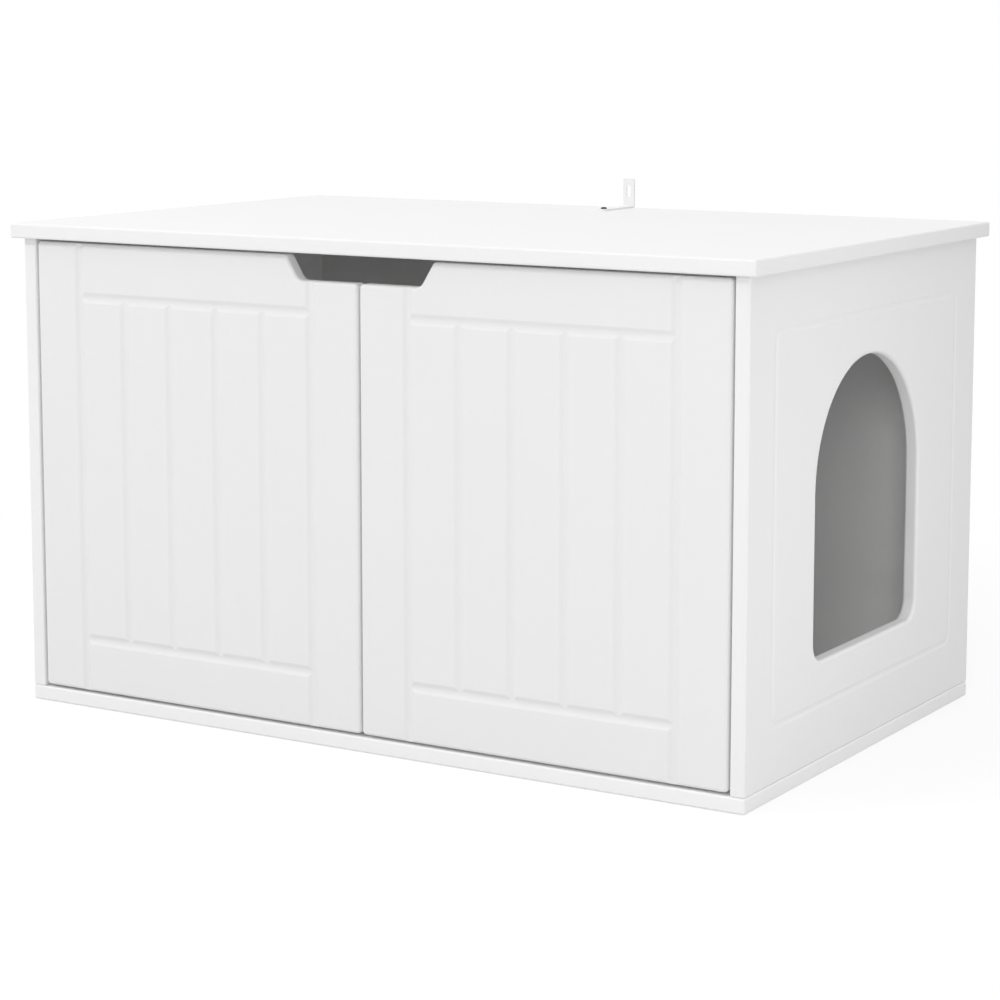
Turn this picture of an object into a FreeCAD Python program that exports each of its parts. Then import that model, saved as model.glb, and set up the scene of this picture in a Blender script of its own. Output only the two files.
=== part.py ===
import FreeCAD, Part
import math
import os
import re

import Sketcher
from FreeCAD import Rotation, Vector

# Side-entry cat cabinet: boards, two grooved inset doors on cup hinges, flat-pack fittings, wall strap.
# Frame: X to the right (entry side), Y to the back, Z up, origin under the middle of the footprint.

SIZES = {
    # Cabinet box
    "carcass_width": 830,
    "carcass_depth": 525,
    "total_height": 500,
    "board": 15,
    "top_overhang": 10,
    "panel_edge_radius": 2,
    "side_edge_radius": 2,
    # Thin back panel in its groove
    "back_thickness": 3,
    "back_inset": 12,
    "back_groove_depth": 5,
    "back_clearance": 0.2,
    # Doors
    "door_thickness": 15,
    "door_side_gap": 2.5,
    "door_centre_gap": 2.4,
    "door_top_gap": 3,
    "door_bottom_gap": 2.8,
    "door_corner_radius": 4,
    "door_front_radius": 3.3,
    "door_rear_radius": 2,
    "notch_depth": 24.5,
    "notch_top_width": 170,
    "notch_bottom_width": 140,
    "notch_radius": 10,
    # Routed frame and planks on the doors
    "frame_width": 55,
    "plank_count": 5,
    "groove_width": 14.5,
    "groove_overcut": 0.1,
    "stile_groove_depth": 1.8,
    "rail_groove_depth": 1.7,
    "plank_groove_depth": 1.6,
    # Arched entry and routed line on the sides
    "entry_width": 240,
    "entry_clearance": 36,
    "entry_corner_radius": 20,
    "entry_edge_radius": 3.5,
    "line_inset": 54,
    "line_width": 10,
    "line_depth": 0.7,
    "line_radius": 9,
    # Cam fittings and dowels
    "fitting_setback": 60,
    "fitting_clearance": 0.05,
    "cam_radius": 7.5,
    "cam_height": 12,
    "cam_distance": 34,
    "cam_slot_width": 7,
    "cam_floor_clearance": 0.4,
    "driver_slot_length": 7,
    "driver_slot_width": 1.4,
    "driver_slot_depth": 1.6,
    "bolt_thread_radius": 3,
    "bolt_thread_length": 10,
    "bolt_shank_radius": 2.5,
    "bolt_bore_radius": 3.5,
    "bolt_head_radius": 3,
    "bolt_head_length": 3,
    "bolt_neck_radius": 1.6,
    "bolt_neck_length": 3,
    "dowel_spacing": 32,
    "dowel_radius": 4,
    "dowel_length": 30,
    "dowel_depth": 10,
    # Cup hinges
    "hinge_setback": 85,
    "pin_inset": 10,
    "pin_depth": 7,
    "pin_radius": 1.25,
    "pin_length": 23,
    "pin_running_clearance": 0.05,
    "pin_seat_clearance": 0.01,
    "hub_radius": 2.4,
    "hub_clearance": 0.5,
    "arm_width": 14,
    "arm_side_clearance": 0.6,
    "arm_thickness": 2.2,
    "neck_radius": 13.8,
    "arm_reach": 68,
    "plate_thickness": 3,
    "plate_width": 18,
    "plate_front": 18,
    "plate_rear": 70,
    "wing_setback": 52,
    "wing_width": 18,
    "wing_span": 48,
    "plate_screw_spacing": 32,
    "arm_screw_front": 31,
    "arm_screw_rear": 61,
    "cup_radius": 17.5,
    "cup_rim": 4,
    "cup_depth": 11.5,
    "cup_wall": 2.5,
    "cup_fit": 0.05,
    "cup_floor_clearance": 0.3,
    "flange_thickness": 1.2,
    "flange_rim": 2,
    "flange_span": 58,
    "flange_wing_width": 14,
    "cup_screw_spacing": 45,
    "cup_screw_offset": 9.5,
    # Screws
    "screw_radius": 1.75,
    "screw_length": 11,
    "screw_head_radius": 3.4,
    "screw_head_height": 1.8,
    "screw_tip_clearance": 0.5,
    "screw_clearance": 0.05,
    "arm_screw_radius": 2,
    "recess_length": 3.6,
    "recess_width": 0.8,
    "recess_depth": 1,
    # Wall strap
    "strap_width": 14,
    "strap_thickness": 1.8,
    "strap_length": 70,
    "strap_height": 32,
    "strap_slot_width": 5.4,
    "strap_slot_length": 14,
    "strap_slot_centre": 18,
    "strap_screw_inset": 12,
}

doc = FreeCAD.newDocument("CatCabinet")
sheet = doc.addObject("Spreadsheet::Sheet", "Sizes")
for row, (alias, value) in enumerate(SIZES.items(), start=1):
    sheet.set("A%d" % row, alias)
    sheet.set("B%d" % row, str(value))
    sheet.setAlias("B%d" % row, alias)
doc.recompute()

# Places that several pieces share, as expressions on the sheet
SIDE_HEIGHT = "(total_height - 2 * board)"
DOOR_WIDTH = "(carcass_width / 2 - board - door_side_gap - door_centre_gap / 2)"
DOOR_HEIGHT = "(total_height - 2 * board - door_top_gap - door_bottom_gap)"
DOOR_BOTTOM = "(board + door_bottom_gap)"
SIDE_OUTER = "(-carcass_width / 2)"
SIDE_INNER = "(-carcass_width / 2 + board)"
FRONT = "(-carcass_depth / 2)"
BACK_FACE = "(carcass_depth / 2 - back_inset - back_thickness)"
PIN_X = "(-carcass_width / 2 + board + door_side_gap + pin_inset)"
PIN_Y = "(-carcass_depth / 2 + pin_depth)"
HINGE_LEVELS = {
    "lower": "(board + door_bottom_gap + hinge_setback)",
    "upper": "(total_height - board - door_top_gap - hinge_setback)",
}
FITTING_PLACES = {
    "front": "(-carcass_depth / 2 + fitting_setback)",
    "rear": "(carcass_depth / 2 - fitting_setback)",
}
DOWEL_PLACES = {
    "front": "(-carcass_depth / 2 + fitting_setback + dowel_spacing)",
    "rear": "(carcass_depth / 2 - fitting_setback - dowel_spacing)",
}
ALONG_X = Rotation(Vector(0, 1, 0), 90)
ALONG_Y = Rotation(Vector(1, 0, 0), -90)
UPSIDE_DOWN = Rotation(Vector(1, 0, 0), 180)
UPRIGHT = Rotation()


# Expressions
def full(text):
    """Write a plain expression with its sheet in front of each size name."""
    return re.sub(r"[a-z]\w*", lambda found: "Sizes." + found.group(0), text)


def number(text):
    return float(sheet.evalExpression(full(text)))


def bind(obj, prop, text):
    obj.setExpression(prop, full(text))


def place(obj, corner, rotation=UPRIGHT):
    """Bind an object's position to three expressions, with a fixed turn."""
    obj.Placement.Rotation = rotation
    for axis, text in zip("xyz", corner):
        bind(obj, "Placement.Base." + axis, text)
    return obj


# Sketches
def sketch_on(body, name, role, offset="0"):
    """A sketch on one of the body's own origin planes, moved along the plane's normal."""
    sketch = body.newObject("Sketcher::SketchObject", name)
    plane = next(item for item in body.Origin.OriginFeatures if item.Role == role)
    sketch.AttachmentSupport = [(plane, "")]
    sketch.MapMode = "FlatFace"
    bind(sketch, "AttachmentOffset.Base.z", offset)
    return sketch


def fix_point(sketch, geometry, end, corner):
    """Dimension one end of a line or arc, or a circle's centre, from the sketch origin."""
    for kind, text in zip(("DistanceX", "DistanceY"), corner):
        index = sketch.addConstraint(Sketcher.Constraint(kind, -1, 1, geometry, end, number(text)))
        bind(sketch, "Constraints[%d]" % index, text)


def add_arc(sketch, start, stop, radius_text, turn):
    """An arc between two points. Turn +1 puts its centre on the left of the way, -1 on the right."""
    radius = number(radius_text)
    chord = stop - start
    middle = (start + stop) * 0.5
    left = Vector(-chord.y, chord.x, 0).normalize()
    rise = math.sqrt(max(radius ** 2 - chord.Length ** 2 / 4, 0))
    centre = middle + left * (turn * rise)
    crown = centre + (middle - centre).normalize() * radius
    geometry = sketch.addGeometry(Part.Arc(start, crown, stop))
    index = sketch.addConstraint(Sketcher.Constraint("Radius", geometry, radius))
    bind(sketch, "Constraints[%d]" % index, radius_text)
    return geometry


def outline(sketch, corners, arcs=None):
    """A closed outline through corners. arcs maps a corner's index to (radius, turn) of the side after it."""
    arcs = arcs or {}
    points = [Vector(number(x), number(y), 0) for x, y in corners]
    sides = []
    for index, start in enumerate(points):
        stop = points[(index + 1) % len(points)]
        if index in arcs:
            sides.append(add_arc(sketch, start, stop, *arcs[index]))
        else:
            sides.append(sketch.addGeometry(Part.LineSegment(start, stop)))

    def end_at(side, point):
        near = [(sketch.getPoint(side, end) - point).Length for end in (1, 2)]
        return 1 if near[0] < near[1] else 2

    for index, point in enumerate(points):
        side = sides[index]
        before = sides[index - 1]
        sketch.addConstraint(
            Sketcher.Constraint("Coincident", before, end_at(before, point), side, end_at(side, point)))
    for index, point in enumerate(points):
        fix_point(sketch, sides[index], end_at(sides[index], point), corners[index])


def rectangle(sketch, low, high):
    outline(sketch, [(low[0], low[1]), (high[0], low[1]), (high[0], high[1]), (low[0], high[1])])


def rounded_rectangle(sketch, low, high, radius):
    (x0, y0), (x1, y1) = low, high
    corners = [
        (f"{x0} + {radius}", y0), (f"{x1} - ({radius})", y0),
        (x1, f"{y0} + {radius}"), (x1, f"{y1} - ({radius})"),
        (f"{x1} - ({radius})", y1), (f"{x0} + {radius}", y1),
        (x0, f"{y1} - ({radius})"), (x0, f"{y0} + {radius}"),
    ]
    outline(sketch, corners, {index: (radius, 1) for index in (1, 3, 5, 7)})


def circle(sketch, centre, radius):
    middle = Vector(number(centre[0]), number(centre[1]), 0)
    geometry = sketch.addGeometry(Part.Circle(middle, Vector(0, 0, 1), number(radius)))
    fix_point(sketch, geometry, 3, centre)
    index = sketch.addConstraint(Sketcher.Constraint("Radius", geometry, number(radius)))
    bind(sketch, "Constraints[%d]" % index, radius)


def groove_section(sketch, middle, width, depth, upright):
    """The section of a routed groove: shoulders and floor are arcs of one radius. upright grooves run along Z."""
    half = f"({width} / 2)"
    rise = f"({depth} + groove_overcut)"
    bend = f"(({depth} - groove_overcut) / 2)"
    radius = f"(({half} ^ 2 + {rise} ^ 2) / (4 * {rise}))"
    across = [f"{middle} - {half}", f"{middle} - {half} / 2", f"{middle} + {half} / 2", f"{middle} + {half}"]
    deep = ["-groove_overcut", bend, bend, "-groove_overcut"]
    turn = 1 if upright else -1
    corners = list(zip(across, deep)) if upright else list(zip(deep, across))
    outline(sketch, corners, {0: (radius, turn), 1: (radius, -turn), 2: (radius, turn)})


# Features of a body
def pad(body, name, sketch, length, reverse=False):
    feature = body.newObject("PartDesign::Pad", name)
    feature.Profile = sketch
    feature.Reversed = reverse
    bind(feature, "Length", length)
    doc.recompute()
    return feature


def pocket(body, name, sketch, length, reverse=False):
    """Cut a sketch into the body, and stop if it took nothing away."""
    before = body.Shape.Volume
    feature = body.newObject("PartDesign::Pocket", name)
    feature.Profile = sketch
    feature.Reversed = reverse
    bind(feature, "Length", length)
    doc.recompute()
    if body.Shape.Volume >= before:
        raise RuntimeError(body.Name + ": " + name + " cuts nothing")
    return feature


def cut_along(body, name, section, path):
    """Carry a section along a closed path and cut what it passes through, and stop if it took nothing away."""
    before = body.Shape.Volume
    feature = body.newObject("PartDesign::SubtractivePipe", name)
    feature.Profile = section
    feature.Spine = (path, [])
    doc.recompute()
    if body.Shape.Volume >= before:
        raise RuntimeError(body.Name + ": " + name + " cuts nothing")
    return feature


def round_edges(body, name, wanted, radius):
    """Fillet the edges of the body's last feature that wanted(edge) picks."""
    base = body.Tip
    names = ["Edge%d" % index for index, edge in enumerate(base.Shape.Edges, start=1) if wanted(edge)]
    feature = body.newObject("PartDesign::Fillet", name)
    feature.Base = (base, names)
    bind(feature, "Radius", radius)
    doc.recompute()
    return feature


def lies_on(edge, axis, level):
    box = edge.BoundBox
    low = getattr(box, axis + "Min")
    high = getattr(box, axis + "Max")
    return abs(low - level) < 1e-4 and abs(high - level) < 1e-4


def runs_along(edge, axis):
    return all(getattr(edge.BoundBox, other + "Length") < 1e-4 for other in "XYZ" if other != axis)


# Solids built from primitives
def box(name, size, corner):
    solid = doc.addObject("Part::Box", name)
    for prop, text in zip(("Length", "Width", "Height"), size):
        bind(solid, prop, text)
    return place(solid, corner)


def cylinder(name, radius, length, base, rotation=UPRIGHT, angle=360):
    solid = doc.addObject("Part::Cylinder", name)
    bind(solid, "Radius", radius)
    bind(solid, "Height", length)
    solid.Angle = angle
    return place(solid, base, rotation)


def fused(name, pieces):
    solid = doc.addObject("Part::MultiFuse", name)
    solid.Shapes = pieces
    return solid


def group(name, pieces):
    solid = doc.addObject("Part::Compound", name)
    solid.Links = pieces
    return solid


def cut(name, base, tools):
    solid = doc.addObject("Part::Cut", name)
    solid.Base = base
    solid.Tool = tools[0] if len(tools) == 1 else group(name + "_tools", tools)
    return solid


def mirrored(name, source):
    """The same piece on the other side of the cabinet's middle plane."""
    solid = doc.addObject("Part::Mirroring", name)
    solid.Source = source
    solid.Base = Vector(0, 0, 0)
    solid.Normal = Vector(1, 0, 0)
    return solid


def both_sides(name, pieces):
    left = group(name + "_left", pieces)
    return group(name, [left, mirrored(name + "_right", left)])


# Top and base boards
def flat_board(name, overhang, bottom, inner_face, into_board):
    """A lying board with holes for bolts and dowels and a groove for the back panel in its inner face."""
    body = doc.addObject("PartDesign::Body", name)
    half_width = f"(carcass_width / 2 + {overhang})"
    half_depth = f"(carcass_depth / 2 + {overhang})"
    blank = sketch_on(body, name + "_outline", "XY_Plane")
    rectangle(blank, ("-" + half_width, "-" + half_depth), (half_width, half_depth))
    pad(body, name + "_board", blank, "board")
    round_edges(body, name + "_rounding", lambda edge: True, "panel_edge_radius")

    groove = sketch_on(body, name + "_back_groove_sketch", "XY_Plane", inner_face)
    reach = "(carcass_width / 2 - board + back_groove_depth)"
    rectangle(groove, ("-" + reach, BACK_FACE + " - back_clearance"),
              (reach, BACK_FACE + " + back_thickness + back_clearance"))
    pocket(body, name + "_back_groove", groove, "back_groove_depth", reverse=into_board)

    bolts = sketch_on(body, name + "_bolt_sketch", "XY_Plane", inner_face)
    dowels = sketch_on(body, name + "_dowel_sketch", "XY_Plane", inner_face)
    for side in ("-", ""):
        across = side + "(carcass_width / 2 - board / 2)"
        for along in FITTING_PLACES.values():
            circle(bolts, (across, along), "bolt_thread_radius + fitting_clearance")
        for along in DOWEL_PLACES.values():
            circle(dowels, (across, along), "dowel_radius + fitting_clearance")
    pocket(body, name + "_bolt_holes", bolts, "bolt_thread_length", reverse=into_board)
    pocket(body, name + "_dowel_holes", dowels, "dowel_depth", reverse=into_board)
    return place(body, ("0", "0", bottom))


def top_panel():
    body = flat_board("top_panel", "top_overhang", "total_height - board", "0", True)
    hole = sketch_on(body, "strap_screw_sketch", "XY_Plane", "board")
    circle(hole, ("0", "carcass_depth / 2 + top_overhang - strap_length + strap_screw_inset"),
           "screw_radius + screw_clearance")
    pocket(body, "strap_screw_hole", hole, "screw_length + screw_tip_clearance - strap_thickness")
    return body


def base_panel():
    return flat_board("base_panel", "0", "0", "board", False)


# Side boards, drawn for the left side
def side_board(name, with_entry):
    body = doc.addObject("PartDesign::Body", name)
    half_depth = "(carcass_depth / 2)"
    blank = sketch_on(body, name + "_outline", "YZ_Plane")
    rectangle(blank, ("-" + half_depth, "0"), (half_depth, SIDE_HEIGHT))
    pad(body, name + "_board", blank, "board")
    round_edges(body, name + "_rounding", lambda edge: runs_along(edge, "Z") or lies_on(edge, "Z", 0),
                "side_edge_radius")

    line = sketch_on(body, name + "_line_path", "YZ_Plane")
    rounded_rectangle(line, (f"-{half_depth} + line_inset", "line_inset"),
                      (f"{half_depth} - line_inset", f"{SIDE_HEIGHT} - line_inset"), "line_radius")
    section = sketch_on(body, name + "_line_section", "XZ_Plane")
    groove_section(section, "line_inset", "line_width", "line_depth", False)
    cut_along(body, name + "_line", section, line)

    groove = sketch_on(body, name + "_back_groove_sketch", "YZ_Plane", "board")
    rectangle(groove, (BACK_FACE + " - back_clearance", "0"),
              (BACK_FACE + " + back_thickness + back_clearance", SIDE_HEIGHT))
    pocket(body, name + "_back_groove", groove, "back_groove_depth")

    cams = sketch_on(body, name + "_cam_sketch", "YZ_Plane", "board")
    screws = sketch_on(body, name + "_hinge_screw_sketch", "YZ_Plane", "board")
    for along in FITTING_PLACES.values():
        circle(cams, (along, "cam_distance"), "cam_radius")
        circle(cams, (along, SIDE_HEIGHT + " - cam_distance"), "cam_radius")
    for level in HINGE_LEVELS.values():
        for step in ("-", "+"):
            circle(screws, (FRONT + " + wing_setback", f"{level} - board {step} plate_screw_spacing / 2"),
                   "screw_radius + screw_clearance")
    pocket(body, name + "_cam_bores", cams, "cam_height + cam_floor_clearance")
    pocket(body, name + "_hinge_screw_holes", screws, "screw_length + screw_tip_clearance - plate_thickness")

    for end, level, upward in (("bottom", "0", True), ("top", SIDE_HEIGHT, False)):
        bores = sketch_on(body, f"{name}_{end}_bolt_sketch", "XY_Plane", level)
        dowels = sketch_on(body, f"{name}_{end}_dowel_sketch", "XY_Plane", level)
        for along in FITTING_PLACES.values():
            circle(bores, ("board / 2", along), "bolt_bore_radius")
        for along in DOWEL_PLACES.values():
            circle(dowels, ("board / 2", along), "dowel_radius + fitting_clearance")
        pocket(body, f"{name}_{end}_bolt_bores", bores, "cam_distance", reverse=upward)
        pocket(body, f"{name}_{end}_dowel_holes", dowels, "dowel_length - dowel_depth", reverse=upward)

    if with_entry:
        cut_entry(body, name)
    return place(body, (SIDE_OUTER, "0", "board"))


def cut_entry(body, name):
    """The arched opening, set clear of the routed line round it, with both of its rims rounded over."""
    half = "entry_width / 2"
    sill = "(line_inset + line_width / 2 + entry_clearance)"
    crown = f"({SIDE_HEIGHT} - {sill})"
    spring = f"({crown} - entry_width / 2)"
    corners = [
        (f"-({half} - entry_corner_radius)", sill), (f"{half} - entry_corner_radius", sill),
        (half, f"{sill} + entry_corner_radius"), (half, spring), ("0", crown), (f"-{half}", spring),
        (f"-{half}", f"{sill} + entry_corner_radius"),
    ]
    arch = (half, 1)
    corner = ("entry_corner_radius", 1)
    entry = sketch_on(body, name + "_entry_sketch", "YZ_Plane")
    outline(entry, corners, {1: corner, 3: arch, 4: arch, 6: corner})
    pocket(body, name + "_entry", entry, "board", reverse=True)

    reach = number(half) + 1
    low = number(sill) - 1
    high = number(crown) + 1

    def on_rim(edge):
        frame = edge.BoundBox
        inside = abs(frame.YMin) < reach and abs(frame.YMax) < reach and frame.ZMin > low and frame.ZMax < high
        return inside and (lies_on(edge, "X", 0) or lies_on(edge, "X", number("board")))

    round_edges(body, name + "_entry_rims", on_rim, "entry_edge_radius")


def back_panel():
    reach = "(carcass_width / 2 - board + back_groove_depth - back_clearance)"
    height = f"({SIDE_HEIGHT} + 2 * back_groove_depth - back_clearance)"
    return box("back_panel", ("2 * " + reach, "back_thickness", height),
               ("-" + reach, BACK_FACE, "board - back_groove_depth"))


# Doors, drawn for the left side with the hinge edge at X 0 and the front at Y 0
def left_door():
    name = "left_door"
    body = doc.addObject("PartDesign::Body", name)
    reach_bottom = f"({DOOR_WIDTH} + door_centre_gap / 2 - notch_bottom_width / 2)"
    reach_top = f"({DOOR_WIDTH} + door_centre_gap / 2 - notch_top_width / 2)"
    ledge = f"({DOOR_HEIGHT} - notch_depth)"
    blank = sketch_on(body, "door_outline", "XZ_Plane")
    outline(blank, [("0", "0"), (DOOR_WIDTH, "0"), (DOOR_WIDTH, ledge), (reach_bottom, ledge),
                    (reach_top, DOOR_HEIGHT), ("0", DOOR_HEIGHT)])
    pad(body, "door_board", blank, "door_thickness", reverse=True)

    inner = Vector(number(reach_bottom), 0, number(ledge))

    def at_notch(edge):
        middle = edge.BoundBox.Center
        return runs_along(edge, "Y") and math.hypot(middle.x - inner.x, middle.z - inner.z) < 0.1

    round_edges(body, "notch_rounding", at_notch, "notch_radius")
    round_edges(body, "corner_rounding",
                lambda edge: runs_along(edge, "Y") and is_sharp_corner(edge, inner), "door_corner_radius")
    thickness = number("door_thickness")
    round_edges(body, "front_rounding", lambda edge: lies_on(edge, "Y", 0), "door_front_radius")
    round_edges(body, "rear_rounding", lambda edge: lies_on(edge, "Y", thickness), "door_rear_radius")

    cups = sketch_on(body, "cup_bore_sketch", "XZ_Plane", "-door_thickness")
    screws = sketch_on(body, "cup_screw_sketch", "XZ_Plane", "-door_thickness")
    cup_x = "(cup_rim + cup_radius)"
    for level in HINGE_LEVELS.values():
        height = f"({level} - {DOOR_BOTTOM})"
        circle(cups, (cup_x, height), "cup_radius")
        for step in ("-", "+"):
            circle(screws, (cup_x + " + cup_screw_offset", f"{height} {step} cup_screw_spacing / 2"),
                   "screw_radius + screw_clearance")
    pocket(body, "cup_bores", cups, "cup_depth + cup_floor_clearance", reverse=True)
    pocket(body, "cup_screw_holes", screws, "screw_length + screw_tip_clearance - flange_thickness", reverse=True)

    far_stile = f"({DOOR_WIDTH} - frame_width)"
    top_rail = f"({DOOR_HEIGHT} - frame_width)"
    stiles = sketch_on(body, "stile_groove_sketch", "XY_Plane")
    for middle in ("frame_width", far_stile):
        groove_section(stiles, middle, "groove_width", "stile_groove_depth", True)
    pocket(body, "stile_grooves", stiles, DOOR_HEIGHT, reverse=True)

    rails = sketch_on(body, "rail_groove_sketch", "YZ_Plane", "frame_width")
    for middle in ("frame_width", top_rail):
        groove_section(rails, middle, "groove_width", "rail_groove_depth", False)
    pocket(body, "rail_grooves", rails, f"{far_stile} - frame_width", reverse=True)

    planks = sketch_on(body, "plank_groove_sketch", "XY_Plane", "frame_width")
    for index in range(1, int(number("plank_count"))):
        middle = f"(frame_width + ({far_stile} - frame_width) * {index} / plank_count)"
        groove_section(planks, middle, "groove_width", "plank_groove_depth", True)
    pocket(body, "plank_grooves", planks, f"{top_rail} - frame_width", reverse=True)
    return place(body, (SIDE_INNER + " + door_side_gap", FRONT, DOOR_BOTTOM))


def is_sharp_corner(edge, inner):
    """True away from the notch's already rounded inside corner."""
    middle = edge.BoundBox.Center
    return math.hypot(middle.x - inner.x, middle.z - inner.z) > 2 * number("notch_radius")


# Flat-pack fittings
def dowels():
    pieces = []
    for spot, along in DOWEL_PLACES.items():
        for end, level in (("lower", "board - dowel_depth"),
                           ("upper", "total_height - board + dowel_depth - dowel_length")):
            pieces.append(cylinder(f"dowel_{spot}_{end}", "dowel_radius", "dowel_length",
                                   ("-carcass_width / 2 + board / 2", along, level)))
    return both_sides("wood_dowels", pieces)


def cam_bolt(name):
    """Threaded end, shank, neck and head, downwards from the face of the board it screws into."""
    shank_length = "(cam_distance - bolt_neck_length - bolt_head_length / 2)"
    neck_bottom = f"(-{shank_length} - bolt_neck_length)"
    thread = cylinder(name + "_thread", "bolt_thread_radius", "bolt_thread_length", ("0", "0", "0"))
    shank = cylinder(name + "_shank", "bolt_shank_radius", shank_length, ("0", "0", "-" + shank_length))
    neck = cylinder(name + "_neck", "bolt_neck_radius", "bolt_neck_length", ("0", "0", neck_bottom))
    head = cylinder(name + "_head", "bolt_head_radius", "bolt_head_length",
                    ("0", "0", neck_bottom + " - bolt_head_length"))
    return fused(name, [thread, shank, neck, head])


def cam_lock(name):
    """A drum with a mouth for the bolt's head and a cross slot in the face that shows."""
    drum = cylinder(name + "_drum", "cam_radius - fitting_clearance", "cam_height", ("-cam_height", "0", "0"),
                    ALONG_X)
    mouth = box(name + "_mouth", ("cam_slot_width", "cam_slot_width", "cam_radius + cam_slot_width / 2"),
                ("-board / 2 - cam_slot_width / 2", "-cam_slot_width / 2", "-cam_slot_width / 2"))
    driver = cross_slot(name, "driver_slot", ("-driver_slot_depth", "0", "0"), ALONG_X)
    return cut(name, drum, [mouth, driver])


def cross_slot(name, kind, base, rotation):
    """Two crossed bars that cut a screwdriver's slot, standing on base."""
    long_side = f"{kind}_length"
    short_side = f"{kind}_width"
    bars = []
    for turn, (wide, deep) in enumerate(((long_side, short_side), (short_side, long_side))):
        bars.append(box(f"{name}_bar_{turn}", (wide, deep, f"{kind}_depth"),
                        (f"-{wide} / 2", f"-{deep} / 2", "0")))
    return place(fused(name + "_cross", bars), base, rotation)


def cam_fittings():
    bolts = []
    locks = []
    middle = "-carcass_width / 2 + board / 2"
    for spot, along in FITTING_PLACES.items():
        for end, seat, cam_level, turn in (
                ("lower", "board", "board + cam_distance", UPSIDE_DOWN),
                ("upper", "total_height - board", "total_height - board - cam_distance", UPRIGHT)):
            bolts.append(place(cam_bolt(f"bolt_{spot}_{end}"), (middle, along, seat), turn))
            locks.append(place(cam_lock(f"cam_{spot}_{end}"), (SIDE_INNER, along, cam_level), turn))
    return both_sides("cam_bolts", bolts), both_sides("cam_locks", locks)


# Screws, drawn with the seat of the head at Z 0 and the tip downwards
def screw(name, radius, length):
    shank = cylinder(name + "_shank", radius, length, ("0", "0", "-" + length))
    head = doc.addObject("Part::Cone", name + "_dome")
    bind(head, "Radius1", "screw_head_radius")
    bind(head, "Radius2", "screw_head_radius - screw_head_height / 2")
    bind(head, "Height", "screw_head_height")
    recess = cross_slot(name, "recess", ("0", "0", "screw_head_height - recess_depth"), UPRIGHT)
    return cut(name, fused(name + "_blank", [shank, head]), [recess])


# Cup hinges, drawn round the pin's axis at the hinge's middle height, for the left door
PLATE_FACE = "(-pin_inset - door_side_gap + plate_thickness)"
CUP_X = "(-pin_inset + cup_rim + cup_radius)"
DOOR_REAR = "(door_thickness - pin_depth)"
HALF_ARM = "(arm_width / 2)"
ARM_SCREWS = {"front": "arm_screw_front", "rear": "arm_screw_rear"}


def hinge_arm(name, level):
    """A hub on the pin, a web and a bow that clears the door's edge, and a flat tail on the plate."""
    bottom = "-" + HALF_ARM
    hub = cylinder(name + "_hub", "hub_radius", "arm_width", ("0", "0", bottom))
    web = box(name + "_web", ("neck_radius + arm_thickness", "arm_thickness", "arm_width"),
              ("0", "-arm_thickness / 2", bottom))
    bow = cut(name + "_bow", cylinder(name + "_bow_outside", "neck_radius + arm_thickness", "arm_width",
                                      ("0", "0", bottom), angle=90),
              [cylinder(name + "_bow_inside", "neck_radius", "arm_width", ("0", "0", bottom))])
    crank = box(name + "_crank", ("-" + PLATE_FACE, "arm_thickness", "arm_width"),
                (PLATE_FACE, "neck_radius", bottom))
    tail = box(name + "_tail", ("arm_thickness", "arm_reach - neck_radius", "arm_width"),
               (PLATE_FACE, "neck_radius", bottom))
    holes = [cylinder(name + "_bore", "pin_radius + pin_running_clearance", "arm_width", ("0", "0", bottom))]
    for spot, along in ARM_SCREWS.items():
        holes.append(cylinder(f"{name}_{spot}_hole", "arm_screw_radius + screw_clearance", "arm_thickness",
                              (PLATE_FACE, along, "0"), ALONG_X))
    arm = cut(name, fused(name + "_blank", [hub, web, bow, crank, tail]), holes)
    return place(arm, (PIN_X, PIN_Y, level))


def hinge_plate(name, level):
    """A long foot under the arm with two wings for the screws."""
    side_face = "(-pin_inset - door_side_gap)"
    wing_y = "(wing_setback - pin_depth)"
    foot = box(name + "_foot", ("plate_thickness", "plate_rear - plate_front", "plate_width"),
               (side_face, "plate_front", "-plate_width / 2"))
    wings = box(name + "_wings", ("plate_thickness", "wing_width", "wing_span"),
                (side_face, wing_y + " - wing_width / 2", "-wing_span / 2"))
    holes = []
    for spot, along in ARM_SCREWS.items():
        holes.append(cylinder(f"{name}_{spot}_hole", "arm_screw_radius + screw_clearance", "plate_thickness",
                              (side_face, along, "0"), ALONG_X))
    for step in ("-", "+"):
        holes.append(cylinder(f"{name}_wing_hole_{len(holes)}", "screw_radius + screw_clearance",
                              "plate_thickness", (side_face, wing_y, f"{step}plate_screw_spacing / 2"), ALONG_X))
    plate = cut(name, fused(name + "_blank", [foot, wings]), holes)
    return place(plate, (PIN_X, PIN_Y, level))


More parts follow.
